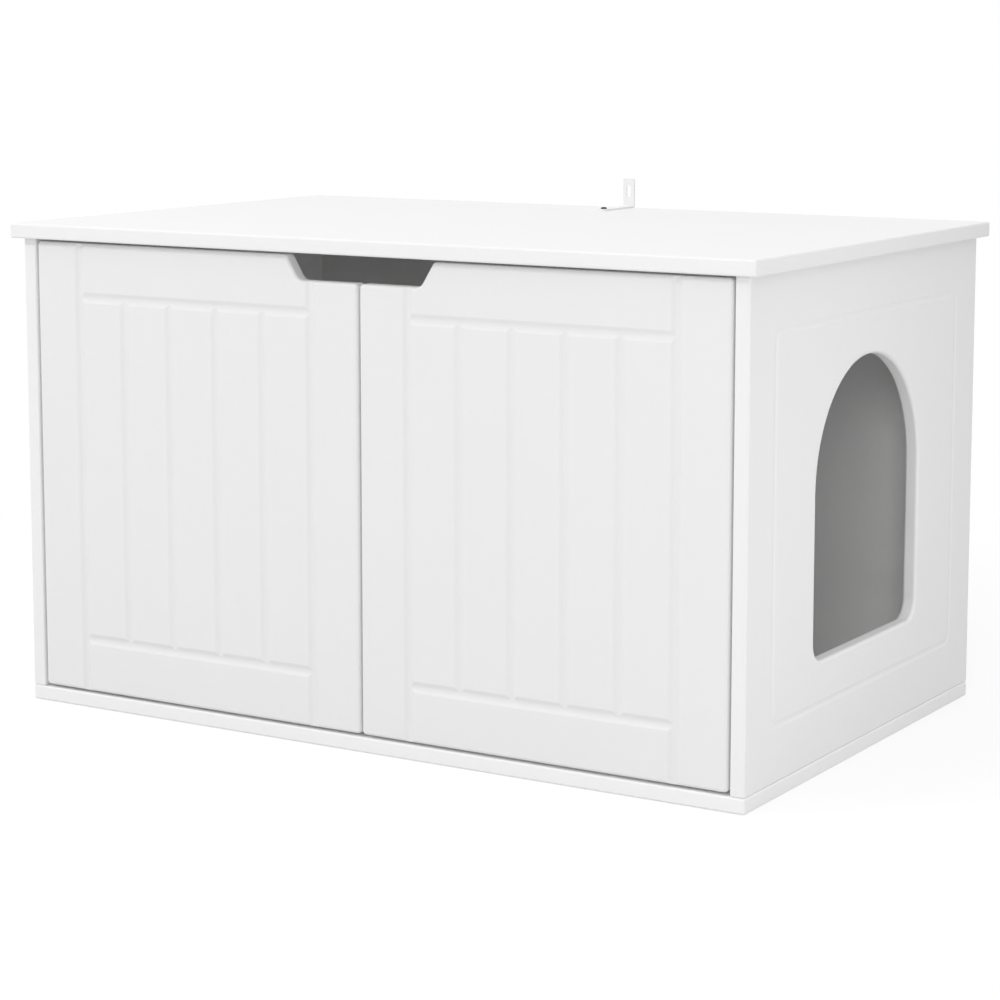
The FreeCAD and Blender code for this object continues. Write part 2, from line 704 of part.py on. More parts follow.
def hinge_cup(name, level):
    """A round cup sunk in the door's back, with a flange, and cheeks that hold the pin."""
    drum_start = f"({DOOR_REAR} - cup_depth)"
    half_cavity = "(arm_width / 2 + arm_side_clearance)"
    cavity_start = "(-hub_radius - hub_clearance)"
    cavity_stop = f"({CUP_X} + cup_radius - cup_wall)"
    cavity_floor = "(-hub_radius - pin_running_clearance - hub_clearance / 2)"
    drum = cylinder(name + "_drum", "cup_radius - cup_fit", "cup_depth", (CUP_X, drum_start, "0"), ALONG_Y)
    rim = cylinder(name + "_rim", "cup_radius + flange_rim", "flange_thickness", (CUP_X, DOOR_REAR, "0"), ALONG_Y)
    wings = box(name + "_wings", ("flange_wing_width", "flange_thickness", "flange_span"),
                (CUP_X + " + cup_screw_offset - flange_wing_width / 2", DOOR_REAR, "-flange_span / 2"))
    cavity = box(name + "_cavity", (f"{cavity_stop} - {cavity_start}",
                                    f"{DOOR_REAR} + flange_thickness - {cavity_floor}", "2 * " + half_cavity),
                 (cavity_start, cavity_floor, "-" + half_cavity))
    bore = cylinder(name + "_bore", "pin_radius + pin_seat_clearance", "2 * cup_radius", ("0", "0", "-cup_radius"))
    holes = [fused(name + "_hollow", [cavity, bore])]
    for step in ("-", "+"):
        holes.append(cylinder(f"{name}_hole_{len(holes)}", "screw_radius + screw_clearance", "flange_thickness",
                              (CUP_X + " + cup_screw_offset", DOOR_REAR, f"{step}cup_screw_spacing / 2"), ALONG_Y))
    cup = cut(name, fused(name + "_blank", [drum, rim, wings]), holes)
    return place(cup, (PIN_X, PIN_Y, level))


def hinge_screws(hinge, level):
    """The screws of one hinge: through the flange, through the plate and through the arm."""
    cup_screws = []
    plate_screws = []
    arm_screws = []
    wing_y = f"{PIN_Y} + wing_setback - pin_depth"
    for index, step in enumerate(("-", "+")):
        cup_screws.append(place(
            screw(f"{hinge}_cup_screw_{index}", "screw_radius", "screw_length"),
            (f"{PIN_X} + {CUP_X} + cup_screw_offset", f"{PIN_Y} + {DOOR_REAR} + flange_thickness",
             f"{level} {step} cup_screw_spacing / 2"), ALONG_Y))
        plate_screws.append(place(
            screw(f"{hinge}_plate_screw_{index}", "screw_radius", "screw_length"),
            (SIDE_INNER + " + plate_thickness", wing_y, f"{level} {step} plate_screw_spacing / 2"), ALONG_X))
    for spot, along in ARM_SCREWS.items():
        arm_screws.append(place(
            screw(f"{hinge}_arm_screw_{spot}", "arm_screw_radius", "(arm_thickness + plate_thickness)"),
            (SIDE_INNER + " + plate_thickness + arm_thickness", f"{PIN_Y} + {along}", level), ALONG_X))
    return cup_screws, plate_screws, arm_screws


def hinges():
    """All four hinges: every piece of the left door's two, and its mirror image for the right door."""
    nodes = []
    cup_screws = []
    plate_screws = []
    arm_screws = []
    for height, level in HINGE_LEVELS.items():
        pin = cylinder(f"left_{height}_hinge_pin", "pin_radius", "pin_length",
                       (PIN_X, PIN_Y, f"{level} - pin_length / 2"))
        pieces = {
            "arm": hinge_arm(f"left_{height}_hinge_arm", level),
            "plate": hinge_plate(f"left_{height}_hinge_plate", level),
            "cup": hinge_cup(f"left_{height}_hinge_cup", level),
            "pin": pin,
        }
        for kind, piece in pieces.items():
            nodes += [piece, mirrored(f"right_{height}_hinge_{kind}", piece)]
        screws = hinge_screws(f"{height}_hinge", level)
        cup_screws += screws[0]
        plate_screws += screws[1]
        arm_screws += screws[2]
    left_screws = group("left_cup_screws", cup_screws)
    nodes += [left_screws, mirrored("right_cup_screws", left_screws)]
    nodes += [both_sides("hinge_plate_screws", plate_screws), both_sides("hinge_arm_screws", arm_screws)]
    return nodes


# Wall strap at the back of the top
def wall_strap():
    half = "(strap_width / 2)"
    rear = "(carcass_depth / 2 + top_overhang)"
    front = f"({rear} - strap_length)"
    slot_half = "((strap_slot_length - strap_slot_width) / 2)"
    slot_middle = "(total_height + strap_slot_centre)"
    wall_face = f"({rear} - strap_thickness)"
    foot = box("strap_foot", ("strap_width", "strap_length", "strap_thickness"), ("-" + half, front, "total_height"))
    leg = box("strap_leg", ("strap_width", "strap_thickness", "strap_height"), ("-" + half, wall_face, "total_height"))
    slot_parts = [box("strap_slot_middle", ("strap_slot_width", "strap_thickness", "2 * " + slot_half),
                      ("-strap_slot_width / 2", wall_face, f"{slot_middle} - {slot_half}"))]
    for step in ("-", "+"):
        slot_parts.append(cylinder(f"strap_slot_end_{len(slot_parts)}", "strap_slot_width / 2", "strap_thickness",
                                   ("0", wall_face, f"{slot_middle} {step} {slot_half}"), ALONG_Y))
    hole = cylinder("strap_hole", "screw_radius + screw_clearance", "strap_thickness",
                    ("0", front + " + strap_screw_inset", "total_height"))
    strap = cut("wall_strap", fused("strap_blank", [foot, leg]), [fused("strap_slot", slot_parts), hole])
    fixing = place(screw("wall_strap_screw", "screw_radius", "screw_length"),
                   ("0", front + " + strap_screw_inset", "total_height + strap_thickness"))
    return [strap, fixing]


def build():
    """Make every piece and give back the ones that become files."""
    door = left_door()
    entry_side = side_board("entry_side_board", True)
    nodes = [top_panel(), base_panel(), side_board("left_side_panel", False),
             mirrored("right_side_panel", entry_side), back_panel(), door, mirrored("right_door", door), dowels()]
    nodes += cam_fittings()
    nodes += hinges()
    nodes += wall_strap()
    return nodes


def write(nodes):
    doc.recompute()
    faults = [obj.Name for obj in doc.Objects if "Invalid" in obj.State or "Error" in obj.State]
    faults += [node.Name for node in nodes if node.Shape.isNull() or not node.Shape.isValid()]
    if faults:
        raise RuntimeError("failed: " + ", ".join(faults))
    os.makedirs("parts", exist_ok=True)
    for node in nodes:
        node.Label = node.Name
        node.Shape.exportStep(os.path.join("parts", node.Label + ".step"))
        print("%-26s %2d solids %12.1f mm3" % (node.Label, len(node.Shape.Solids), node.Shape.Volume))


write(build())
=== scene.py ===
import math

import bmesh
import bpy
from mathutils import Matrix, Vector


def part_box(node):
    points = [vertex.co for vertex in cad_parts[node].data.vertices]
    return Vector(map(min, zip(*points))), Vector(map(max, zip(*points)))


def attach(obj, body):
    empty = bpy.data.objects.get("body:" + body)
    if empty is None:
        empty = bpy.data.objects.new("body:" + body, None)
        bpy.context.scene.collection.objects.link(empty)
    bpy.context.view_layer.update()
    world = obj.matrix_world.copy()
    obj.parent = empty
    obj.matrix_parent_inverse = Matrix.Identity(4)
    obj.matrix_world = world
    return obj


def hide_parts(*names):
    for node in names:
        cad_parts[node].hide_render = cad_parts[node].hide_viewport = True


# White cat cabinet: lacquered boards, grooved doors on cup hinges, flat-pack fittings and a wall strap.
# Everything is in metres, with X towards the arched entry, Y to the back and Z up.
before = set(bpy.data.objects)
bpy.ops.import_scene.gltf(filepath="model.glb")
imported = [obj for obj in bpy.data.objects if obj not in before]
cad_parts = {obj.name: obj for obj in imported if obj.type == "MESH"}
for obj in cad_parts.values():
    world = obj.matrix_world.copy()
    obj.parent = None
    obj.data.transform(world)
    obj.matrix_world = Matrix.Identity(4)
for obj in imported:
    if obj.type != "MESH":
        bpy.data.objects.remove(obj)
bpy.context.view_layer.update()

MM = 0.001
X_AXIS, Y_AXIS, Z_AXIS = range(3)
UP = (0, 0, 1)
WELD = 0.002 * MM
FLAT_ANGLE = math.radians(0.5)
CORNER_ANGLE = math.radians(40)
FIXING_CORNER_ANGLE = math.radians(35)
STRAP_CORNER_ANGLE = math.radians(60)

# White lacquer: lightness of the boards, marks as noise scales, and the change down in the grooves, where the
# colour is darkened partly for the thinner coat and partly as painted shade
BOARD_TONE = 0.855
# Painted light: the base gets a lighter tone than the other boards, making up for the shade near the floor
BASE_PAINTED_LIGHT_TONE = 0.885
DOOR_TONE = 0.813
TONE_BELOW = 0.030
TONE_ABOVE = 0.014
MEAN_SHADE = 0.68
SHADE_SWING = 0.32
LEAST_DULL = 0.40
DULL_SWING = 0.16
CLOUD_SCALE = 7.0
DUST_SCALE = 90.0
PEEL_SCALE = 520.0
PEEL_DEPTH = 0.05 * MM
PEEL_STRENGTH = 0.12
GROOVE_START = 0.1 * MM
GROOVE_BLEND = 0.9 * MM
GROOVE_END = 3.5 * MM
GROOVE_FADE = 1.0 * MM
# How much the colour darkens in the grooves: partly a thinner coat, partly painted shade
GROOVE_PAINTED_SHADE = 0.2
GROOVE_DULL = 0.14
LACQUER_IOR = 1.5

# Screws, pins and dowels
SCREW = {
    "Head Radius": 3.4 * MM,
    "Head Height": 1.8 * MM,
    "Shank Radius": 1.75 * MM,
    "Shank Length": 11 * MM,
    "Thread Pitch": 1.6 * MM,
    "Recess Length": 3.6 * MM,
    "Recess Width": 0.8 * MM,
    "Recess Depth": 1.0 * MM,
}
ARM_SCREW = {**SCREW, "Shank Radius": 2.0 * MM, "Shank Length": 5.2 * MM, "Thread Pitch": 0.8 * MM}
PIN = {"Radius": 1.25 * MM, "Length": 23 * MM}
DOWEL = {
    "Radius": 4 * MM,
    "Length": 30 * MM,
    "Flutes": 20,
    "Flute Depth": 0.35 * MM,
    "Chamfer": 1.6 * MM,
}
HINGE_EDGE = 0.35 * MM
CAM_EDGE = 0.3 * MM
EDGE_STEPS = 2

# Shape of the turned fixings, as shares of their own sizes
SCREW_CORE = 0.72
SCREW_DOME = 0.86
SCREW_DOME_POWER = 3.0
SCREW_NECK = 0.2
SCREW_TIP = 0.15
SCREW_TIP_GROWTH = 5.0
SCREW_THREADED = 0.82
DOWEL_END = 0.8
PIN_END = 0.98
PIN_END_POWER = 14.0

# Steps along and sides around the turned fixings
HEAD_STEPS, HEAD_SIDES = 9, 36
SHANK_STEPS, SHANK_SIDES = 16, 18
RIDGE_SIDES = 3
DOWEL_STEPS = 39
PIN_STEPS, PIN_SIDES = 41, 24
SPIN_SEED = 11

# Wall strap
STRAP_THICKNESS = 1.8 * MM
STRAP_BEND = 2.1 * MM
STRAP_CORNER = 2.5 * MM
STRAP_SLOT = (5.4 * MM, 14 * MM)
STRAP_SLOT_LEVEL = 18 * MM
STRAP_HOLE = 1.8 * MM
STRAP_HOLE_INSET = 12 * MM
STRAP_EDGE = 0.3 * MM
STRAP_BEND_STEPS = 10

# Camera
CAMERA_PLACE = (1.47667, -2.41565, 0.70439)
CAMERA_TURN = 0.5493
CAMERA_DIP = 0.1365
CAMERA_LENS = 99.045
CAMERA_SENSOR = 36
CAMERA_SHIFT = -0.1

# Light: a sky, a key lamp for the doors, and two fills
MIDDLE_HEIGHT = 0.25
SKY_ZENITH = 1.32
SKY_HORIZON = 0.08
KEY_SIDE = math.radians(45)
KEY_HEIGHT = math.radians(33)
KEY_DISTANCE = 4.0
KEY_SIZE = 0.35
KEY_POWER = 42
FILL_PLACE = (0.92, -0.19, 0.32)
FILL_SIZE = 0.5
FILL_POWER = 0.6
FILL_TARGET = (0.415, 0.0, MIDDLE_HEIGHT)
FRONT_PLACE = (1.5, -2.64, 1.18)
FRONT_SIZE = 0.8
FRONT_POWER = 18
FRONT_TARGET = (0.2, -0.1, MIDDLE_HEIGHT)
ROOM_BOUNCES = 12

# Floor: its paper sends light back to the cabinet, its shade and glow are what is seen of it
FLOOR_PAPER = 0.67
FLOOR_SHADE = 0.3
FLOOR_GLOW = 0.69
FLOOR_NEAR = 0.6
FLOOR_BLEND = 0.7
FLOOR_REACH = 14.0
FLOOR_LEVEL = -0.2 * MM


# Node graphs
class Signal:
    """The output of a node. Arithmetic on it adds Math nodes."""

    def __init__(self, graph, socket):
        self.graph = graph
        self.socket = socket

    def output(self, name):
        return Signal(self.graph, self.socket.node.outputs[name])

    def math(self, operation, first, second=0.0):
        return self.graph.node("ShaderNodeMath", {"operation": operation}, {0: first, 1: second})

    def __add__(self, other):
        return self.math("ADD", self, other)

    def __radd__(self, other):
        return self.math("ADD", other, self)

    def __sub__(self, other):
        return self.math("SUBTRACT", self, other)

    def __rsub__(self, other):
        return self.math("SUBTRACT", other, self)

    def __mul__(self, other):
        return self.math("MULTIPLY", self, other)

    def __rmul__(self, other):
        return self.math("MULTIPLY", other, self)

    def __truediv__(self, other):
        return self.math("DIVIDE", self, other)

    def __pow__(self, other):
        return self.math("POWER", self, other)

    def __neg__(self):
        return self.math("MULTIPLY", self, -1.0)

    def __abs__(self):
        return self.math("ABSOLUTE", self)

    def at_most(self, other):
        return self.math("MINIMUM", self, other)

    def at_least(self, other):
        return self.math("MAXIMUM", self, other)


class Graph:
    """Adds nodes to one material, world or geometry tree."""

    def __init__(self, tree):
        self.tree = tree
        tree.nodes.clear()

    def node(self, kind, settings=None, sockets=None, output=0):
        """One node with its settings and values or links for its sockets. Gives back one of its outputs."""
        made = self.tree.nodes.new(kind)
        for name, value in (settings or {}).items():
            setattr(made, name, value)
        for name, value in (sockets or {}).items():
            for one in value if isinstance(value, list) else [value]:
                self.feed(made.inputs[name], one)
        return Signal(self, made.outputs[output]) if made.outputs else None

    def feed(self, socket, value):
        if isinstance(value, Signal):
            self.tree.links.new(value.socket, socket)
        else:
            socket.default_value = value

    def vector(self, x, y, z):
        return self.node("ShaderNodeCombineXYZ", {}, {"X": x, "Y": y, "Z": z})

    def noise(self, place, scale, detail=2.0, roughness=0.5):
        return self.node("ShaderNodeTexNoise", {}, {
            "Vector": place, "Scale": scale, "Detail": detail, "Roughness": roughness})

    def stretched(self, place, scale):
        return self.node("ShaderNodeMapping", {}, {"Vector": place, "Scale": scale})

    def colour(self, factor, first, second):
        return self.node("ShaderNodeMix", {"data_type": "RGBA"},
                         {0: factor, 6: (*first, 1.0), 7: (*second, 1.0)}, output=2)

    def bump(self, height, strength, distance):
        return self.node("ShaderNodeBump", {}, {"Strength": strength, "Distance": distance, "Height": height})


def grey(level):
    return (level, level, level, 1.0)


def between(value, start, width):
    """How far a signal has come from start over a width, held between 0 and 1."""
    return ((value - start) / width).at_least(0.0).at_most(1.0)


def new_finish(name):
    """A material, the graph that fills it, and the place of each point on its piece."""
    material = bpy.data.materials.new(name)
    material.use_nodes = True
    graph = Graph(material.node_tree)
    place = graph.node("ShaderNodeTexCoord", output="Object")
    return material, graph, place


def close_finish(graph, **sockets):
    """A Principled shader with these sockets, on the material's output."""
    named = {name.replace("_", " "): value for name, value in sockets.items()}
    shader = graph.node("ShaderNodeBsdfPrincipled", {}, named)
    graph.node("ShaderNodeOutputMaterial", {}, {"Surface": shader})


# Finishes
def lacquer(name, tone, groove_front=None):
    """Sprayed white lacquer: faint clouds, orange peel, and a duller coat down in routed grooves, whose
    colour is darkened there partly for the thinner coat and partly as painted shade.
    """
    material, graph, place = new_finish(name)
    clouds = graph.noise(place, CLOUD_SCALE, detail=3.0)
    peel = graph.noise(place, PEEL_SCALE, detail=1.0)
    dust = graph.noise(place, DUST_SCALE, detail=4.0)
    shade = MEAN_SHADE + SHADE_SWING * (clouds + dust - 1.0)
    dull = LEAST_DULL + DULL_SWING * clouds
    if groove_front is not None:
        depth = graph.node("ShaderNodeSeparateXYZ", {}, {"Vector": place}, output="Y") - groove_front
        cut = between(depth, GROOVE_START, GROOVE_BLEND)
        before_back = between(depth, GROOVE_END, -GROOVE_FADE)
        groove = cut * before_back
        # Painted shade: the colour darkens down in the grooves, partly for the thinner coat and partly
        # standing in for shade in the recess
        shade = shade - GROOVE_PAINTED_SHADE * groove
        dull = dull + GROOVE_DULL * groove
    colour = graph.colour(shade.at_least(0.0), [tone - TONE_BELOW] * 3, [tone + TONE_ABOVE] * 3)
    close_finish(graph, Base_Color=colour, Roughness=dull,
                 Normal=graph.bump(peel, PEEL_STRENGTH, PEEL_DEPTH), IOR=LACQUER_IOR)
    return material


def hardboard():
    """White faced hardboard: the pressed fibres show faintly through the print."""
    material, graph, place = new_finish("white_faced_hardboard")
    fibres = graph.noise(graph.stretched(place, (260.0, 260.0, 40.0)), 1.0, detail=4.0, roughness=0.6)
    clouds = graph.noise(place, 9.0, detail=2.0)
    colour = graph.colour(0.6 * fibres + 0.4 * clouds, (0.84, 0.84, 0.835), (0.89, 0.89, 0.885))
    close_finish(graph, Base_Color=colour, Roughness=0.42 + 0.16 * fibres,
                 Normal=graph.bump(fibres, 0.2, 0.08 * MM), IOR=LACQUER_IOR)
    return material


def beech():
    """Raw beech with short dark rays along the grain."""
    material, graph, place = new_finish("raw_beech")
    grain = graph.noise(graph.stretched(place, (700.0, 700.0, 45.0)), 1.0, detail=4.0, roughness=0.6)
    rays = graph.noise(graph.stretched(place, (2600.0, 2600.0, 380.0)), 1.0, detail=1.0)
    colour = graph.colour(0.7 * grain + 0.3 * rays, (0.52, 0.34, 0.19), (0.80, 0.62, 0.43))
    close_finish(graph, Base_Color=colour, Roughness=0.60 + 0.2 * grain,
                 Normal=graph.bump(grain, 0.3, 0.1 * MM))
    return material


def metal(name, dark, light, least_rough, rough_swing, grain_scale, grain_depth):
    """Bare or plated metal with a cloudy polish and a fine grained skin."""
    material, graph, place = new_finish(name)
    clouds = graph.noise(place, 160.0, detail=3.0)
    grain = graph.noise(place, grain_scale, detail=2.0)
    close_finish(graph, Base_Color=graph.colour(clouds, dark, light), Metallic=1.0,
                 Roughness=least_rough + rough_swing * (clouds + grain),
                 Normal=graph.bump(grain, 0.35, grain_depth))
    return material


def coated(name, dark, light, roughness):
    """A baked coat on small metal pieces, with a pebbled skin."""
    material, graph, place = new_finish(name)
    pebbles = graph.noise(place, 1500.0, detail=2.0)
    clouds = graph.noise(place, 120.0, detail=2.0)
    colour = graph.colour(0.5 * clouds + 0.5 * pebbles, dark, light)
    close_finish(graph, Base_Color=colour, Roughness=roughness + 0.15 * pebbles,
                 Normal=graph.bump(pebbles, 0.3, PEEL_DEPTH), IOR=LACQUER_IOR)
    return material


door_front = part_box("left_door")[0].y
BOARD_LACQUER = lacquer("white_board_lacquer", BOARD_TONE)
# Painted light: a lighter copy of the board lacquer for the base, making up for the shade near the floor
BASE_LACQUER_PAINTED_LIGHT = lacquer("white_base_lacquer_painted_light", BASE_PAINTED_LIGHT_TONE)
DOOR_LACQUER = lacquer("white_door_lacquer", DOOR_TONE, door_front)
HARDBOARD = hardboard()
BEECH = beech()
NICKEL = metal("nickel_plate", (0.62, 0.61, 0.59), (0.76, 0.75, 0.73),
               least_rough=0.16, rough_swing=0.10, grain_scale=2200.0, grain_depth=0.01 * MM)
CAST_ZINC = metal("cast_zinc", (0.46, 0.46, 0.47), (0.62, 0.62, 0.63),
                  least_rough=0.30, rough_swing=0.14, grain_scale=1300.0, grain_depth=0.05 * MM)
BRIGHT_ZINC = metal("zinc_plated_steel", (0.58, 0.58, 0.60), (0.72, 0.72, 0.74),
                    least_rough=0.20, rough_swing=0.12, grain_scale=1800.0, grain_depth=0.02 * MM)
POWDER_COAT = coated("white_powder_coat", (0.83, 0.83, 0.83), (0.88, 0.88, 0.88), roughness=0.36)
BLACK_COAT = coated("black_screw_coat", (0.015, 0.015, 0.016), (0.05, 0.05, 0.052), roughness=0.32)


# Pieces
def new_piece(name, mesh, finish, body, nodes):
    """A finished mesh as a piece that rides on a body and stands for some CAD nodes."""
    piece = bpy.data.objects.new(name, mesh)
    bpy.context.scene.collection.objects.link(piece)
    mesh.materials.clear()
    mesh.materials.append(finish)
    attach(piece, body)
    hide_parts(*nodes)
    return piece


def joined_skin(node):
    """A copy of a CAD node's triangles with its doubled points merged."""
    skin = bmesh.new()
    skin.from_mesh(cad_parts[node].data)
    bmesh.ops.remove_doubles(skin, verts=skin.verts, dist=WELD)
    return skin


def to_mesh(skin, name, corner_angle=CORNER_ANGLE):
    """Close a bmesh into a mesh whose curves are smooth and whose corners stay sharp."""
    mesh = bpy.data.meshes.new(name)
    skin.to_mesh(mesh)
    skin.free()
    mesh.shade_smooth()
    mesh.set_sharp_from_angle(angle=corner_angle)
    return mesh


def even_shading(piece):
    """Keep large flats flat next to small roundings."""
    normals = piece.modifiers.new("even_shading", "WEIGHTED_NORMAL")
    normals.mode = "FACE_AREA"
    normals.weight = 80
    normals.keep_sharp = True


def soft_edges(piece, width):
    """Break the edges of a stamped or cast piece."""
    bevel = piece.modifiers.new("soft_edges", "BEVEL")
    bevel.width = width
    bevel.segments = EDGE_STEPS
    bevel.limit_method = "ANGLE"
    bevel.angle_limit = CORNER_ANGLE


def refinish(node, finish):
    """Give a CAD node whose shape is right its finish."""
    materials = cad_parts[node].data.materials
    materials.clear()
    materials.append(finish)


def metal_piece(node, name, finish, body, edge):
    """A stamped or cast piece shaped like its CAD node, with whole flats and broken edges."""
    skin = joined_skin(node)
    bmesh.ops.dissolve_limit(skin, angle_limit=FLAT_ANGLE, verts=skin.verts, edges=skin.edges)
    piece = new_piece(name, to_mesh(skin, name), finish, body, [node])
    soft_edges(piece, edge)
    even_shading(piece)


# Repeated pieces, grown by geometry nodes on one point for each of them
def islands(node):
    """The corner points of each separate solid in a CAD node, as (lowest, highest, points)."""
    skin = joined_skin(node)
    waiting = set(skin.verts)
    found = []
    while waiting:
        reached = [waiting.pop()]
        for vert in reached:
            for edge in vert.link_edges:
                other = edge.other_vert(vert)
                if other in waiting:
                    waiting.discard(other)
                    reached.append(other)
        points = [vert.co.copy() for vert in reached]
        low = Vector([min(point[axis] for point in points) for axis in range(3)])
        high = Vector([max(point[axis] for point in points) for axis in range(3)])
        found.append((low, high, points))
    skin.free()
    return sorted(found, key=lambda item: tuple(round(value, 5) for value in item[0]))


def off_axis(point, middle, axis):
    """The squared distance of a point from the line through a middle along an axis."""
    away = point - middle
    return away.length_squared - away[axis] ** 2


def screw_seats(nodes, axis):
    """Where each screw's head sits on its piece, and which way the head looks along an axis."""
    seats = []
    for node in nodes:
        for low, high, points in islands(node):
            middle = (low + high) / 2
            widest = max(points, key=lambda point: off_axis(point, middle, axis))
            side = 1 if widest[axis] > middle[axis] else -1
            way = Vector((0, 0, 0))
            way[axis] = side
            seat = middle.copy()
            seat[axis] = (high if side > 0 else low)[axis] - side * SCREW["Head Height"]
            seats.append((seat, way))
    return seats


def centres(nodes, way):
    """The middle of each separate solid in some CAD nodes, with the way it lies."""
    return [((low + high) / 2, Vector(way)) for node in nodes for low, high, _ in islands(node)]


def new_tree(name, sizes):
    """A geometry tree with points, one number for each size, and a finish as its inputs."""
    tree = bpy.data.node_groups.new(name, "GeometryNodeTree")
    tree.interface.new_socket("Points", in_out="INPUT", socket_type="NodeSocketGeometry")
    for size, value in sizes.items():
        kind = "NodeSocketInt" if isinstance(value, int) else "NodeSocketFloat"
        tree.interface.new_socket(size, in_out="INPUT", socket_type=kind)
    tree.interface.new_socket("Finish", in_out="INPUT", socket_type="NodeSocketMaterial")
    tree.interface.new_socket("Pieces", in_out="OUTPUT", socket_type="NodeSocketGeometry")
    graph = Graph(tree)
    return graph, graph.node("NodeGroupInput")


def turned(graph, bottom, top, steps, profile, scale):
    """A piece turned on Z: a profile carried from bottom to top and scaled on the way."""
    line = graph.node("GeometryNodeCurvePrimitiveLine", {},
                      {"Start": graph.vector(0.0, 0.0, bottom), "End": graph.vector(0.0, 0.0, top)})
    line = graph.node("GeometryNodeResampleCurve", {}, {"Curve": line, "Count": steps})
    return graph.node("GeometryNodeCurveToMesh", {},
                      {"Curve": line, "Profile Curve": profile, "Scale": scale, "Fill Caps": True})


def round_profile(graph, radius, sides):
    return graph.node("GeometryNodeCurvePrimitiveCircle", {}, {"Resolution": sides, "Radius": radius})


def spread(graph, given, piece, spin):
    """Set the piece on every point along its way, turned about itself by up to spin, and close the tree."""
    way = graph.node("GeometryNodeInputNamedAttribute", {"data_type": "FLOAT_VECTOR"}, {"Name": "way"})
    turn = graph.node("FunctionNodeAlignRotationToVector", {"axis": "Z"}, {"Vector": way})
    angle = graph.node("FunctionNodeRandomValue", {}, {2: 0.0, 3: spin, "Seed": SPIN_SEED}, output=1)
    own_turn = graph.node("FunctionNodeAxisAngleToRotation", {}, {"Axis": UP, "Angle": angle})
    turn = graph.node("FunctionNodeRotateRotation", {"rotation_space": "LOCAL"},
                      {"Rotation": turn, "Rotate By": own_turn})
    many = graph.node("GeometryNodeInstanceOnPoints", {},
                      {"Points": given.output("Points"), "Instance": piece, "Rotation": turn})
    many = graph.node("GeometryNodeRealizeInstances", {}, {"Geometry": many})
    many = graph.node("GeometryNodeSetMaterial", {}, {"Geometry": many, "Material": given.output("Finish")})
    graph.node("NodeGroupOutput", {}, {"Pieces": many})
    return graph.tree


def screw_tree():
    """A pan head with a cross recess, a tapered core and a thread, standing on Z 0 under the head."""
    graph, given = new_tree("cross_head_screw", SCREW)
    along = graph.node("GeometryNodeSplineParameter", output="Factor")
    head_radius = given.output("Head Radius")
    head_height = given.output("Head Height")
    shank_length = given.output("Shank Length")
    core = given.output("Shank Radius") * SCREW_CORE
    dome = (1.0 - (SCREW_DOME * along) ** SCREW_DOME_POWER) ** 0.5
    head = turned(graph, 0.0, head_height, HEAD_STEPS, round_profile(graph, head_radius, HEAD_SIDES), dome)
    depth = 2.0 * given.output("Recess Depth")
    long_side = given.output("Recess Length")
    short_side = given.output("Recess Width")
    bars = []
    for size in (graph.vector(long_side, short_side, depth), graph.vector(short_side, long_side, depth)):
        bar = graph.node("GeometryNodeMeshCube", {}, {"Size": size})
        bars.append(graph.node("GeometryNodeTransform", {},
                               {"Geometry": bar, "Translation": graph.vector(0.0, 0.0, head_height)}))
    head = graph.node("GeometryNodeMeshBoolean", {"operation": "DIFFERENCE", "solver": "EXACT"},
                      {"Mesh 1": head, "Mesh 2": bars})
    taper = (SCREW_TIP + SCREW_TIP_GROWTH * along).at_most(1.0)
    shank = turned(graph, -shank_length, head_height * SCREW_NECK, SHANK_STEPS,
                   round_profile(graph, core, SHANK_SIDES), taper)
    thread_length = SCREW_THREADED * shank_length
    helix = graph.node("GeometryNodeCurveSpiral", {}, {
        "Resolution": SHANK_SIDES, "Rotations": thread_length / given.output("Thread Pitch"),
        "Start Radius": core, "End Radius": core, "Height": thread_length})
    ridge = round_profile(graph, given.output("Shank Radius") - core, RIDGE_SIDES)
    thread = graph.node("GeometryNodeCurveToMesh", {},
                        {"Curve": helix, "Profile Curve": ridge, "Fill Caps": True})
    thread = graph.node("GeometryNodeTransform", {},
                        {"Geometry": thread, "Translation": graph.vector(0.0, 0.0, -thread_length)})
    whole = graph.node("GeometryNodeJoinGeometry", {}, {"Geometry": [head, shank, thread]})
    return spread(graph, given, whole, math.pi / 2)


def dowel_tree():
    """A fluted dowel with chamfered ends, about its own middle."""
    graph, given = new_tree("fluted_dowel", DOWEL)
    along = graph.node("GeometryNodeSplineParameter", output="Length")
    length = given.output("Length")
    radius = given.output("Radius")
    flutes = graph.node("GeometryNodeCurveStar", {}, {
        "Points": given.output("Flutes"), "Inner Radius": radius - given.output("Flute Depth"),
        "Outer Radius": radius, "Twist": 0.0})
    to_end = along.at_most(length - along)
    scale = (DOWEL_END + (1.0 - DOWEL_END) * to_end / given.output("Chamfer")).at_most(1.0)
    dowel = turned(graph, length * -0.5, length * 0.5, DOWEL_STEPS, flutes, scale)
    return spread(graph, given, dowel, math.pi)


def pin_tree():
    """A riveted hinge pin with rounded ends, about its own middle."""
    graph, given = new_tree("hinge_pin", PIN)
    along = graph.node("GeometryNodeSplineParameter", output="Factor")
    length = given.output("Length")
    scale = (1.0 - abs(2.0 * PIN_END * along - PIN_END) ** PIN_END_POWER) ** 0.5
    profile = round_profile(graph, given.output("Radius"), PIN_SIDES)
    pin = turned(graph, length * -0.5, length * 0.5, PIN_STEPS, profile, scale)
    return spread(graph, given, pin, math.pi)


